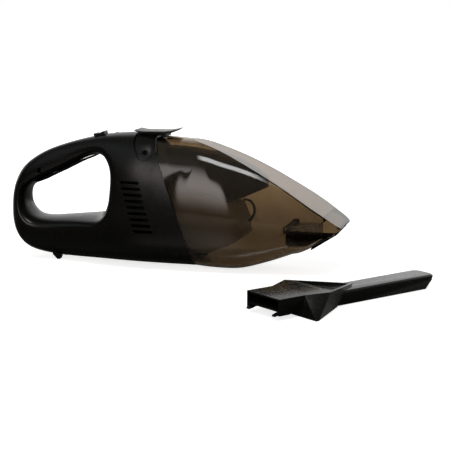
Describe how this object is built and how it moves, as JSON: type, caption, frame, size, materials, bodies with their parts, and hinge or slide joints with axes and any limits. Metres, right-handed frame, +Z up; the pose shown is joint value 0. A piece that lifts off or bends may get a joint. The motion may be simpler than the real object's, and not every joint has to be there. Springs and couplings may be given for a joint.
{
  "type": "handheld vacuum",
  "caption": "Cordless handheld vacuum with a loop handle, smoked see-through dust bowl, release lever, slide switch and cone filter, with a loose crevice nozzle beside it.",
  "frame": {"origin": "bottom centre of the box round the vacuum and its nozzle, on the surface they stand on", "axes": "+X towards the vacuum's nose, +Y away from the loose nozzle, +Z up"},
  "size_m": [0.4542, 0.2618, 0.142],
  "materials": {
    "shell": "moulded satin black, smooth",
    "trim": "moulded satin black",
    "smoke": "clear smoked plastic, polished",
    "duct": "moulded dark plastic",
    "rubber": "soft black rubber",
    "cloth": "pale non-woven cloth",
    "filter": "moulded dark plastic",
    "steel": "plated steel",
    "copper": "lacquered copper winding",
    "cell": "shrink-wrapped green",
    "white": "natural nylon",
    "board": "green circuit board",
    "lens": "translucent red",
    "red": "red wire sheath",
    "black": "moulded black"
  },
  "bodies": {
    "housing": {"casing_near": "shell", "casing_far": "shell", "case_screw": "steel", "indicator_lens": "lens", "charge_socket": "black", "rear_foot_near": "rubber", "rear_foot_far": "rubber", "grip_insert": "rubber", "lever_pin": "steel", "lever_spring": "steel", "switch_body": "black", "motor_bulkhead": "black", "bulkhead_seal": "rubber", "motor_can": "steel", "motor_end_cap": "white", "motor_cradle": "black", "fan_shroud": "black", "battery_cell_1": "cell", "battery_cell_2": "cell", "battery_cell_3": "cell", "battery_cell_4": "cell", "battery_holder": "black", "charge_board": "board", "wire_positive": "red", "wire_negative": "black"},
    "lever": {"release_lever": "trim"},
    "slider": {"switch_slider": "trim"},
    "rotor": {"motor_shaft": "steel", "armature": "copper", "impeller": "white"},
    "bowl": {"dust_bowl": "smoke", "inlet_duct": "duct", "mouth_rim": "rubber", "flap_pin": "steel"},
    "flap": {"inlet_flap": "rubber"},
    "filter": {"filter_flange": "filter", "filter_seal": "rubber", "filter_cloth": "cloth", "filter_cage": "filter", "filter_hood": "filter", "filter_loop": "filter"},
    "nozzle": {"crevice_nozzle": "trim"}
  },
  "joints": [
    {"name": "bowl_hinge", "type": "hinge", "parent": "housing", "child": "bowl", "pos_m": [-0.02398, 0.08176, 0.0026], "axis": [0, 1, 0], "range_deg": [0, 35]},
    {"name": "flap_hinge", "type": "hinge", "parent": "bowl", "child": "flap", "pos_m": [0.07602, 0.08176, 0.0464], "axis": [0, 1, 0], "range_deg": [0, 55]},
    {"name": "filter_pull", "type": "slide", "parent": "housing", "child": "filter", "axis": [1, 0, 0], "range_m": [0, 0.005]},
    {"name": "lever_pivot", "type": "hinge", "parent": "housing", "child": "lever", "pos_m": [-0.06948, 0.08176, 0.1198], "axis": [0, -1, 0], "range_deg": [0, 5], "stiffness_Nm_per_rad": 0.6, "springref_deg": -2.86},
    {"name": "switch_slide", "type": "slide", "parent": "housing", "child": "slider", "axis": [0.9806, 0, 0.1961], "range_m": [0, 0.006]},
    {"name": "motor_spin", "type": "hinge", "parent": "housing", "child": "rotor", "pos_m": [-0.08198, 0.08176, 0.064], "axis": [1, 0, 0], "continuous": true},
    {"name": "nozzle_lift", "type": "slide", "parent": "housing", "child": "nozzle", "axis": [0, 0, 1], "range_m": [0, 0.12]}
  ]
}
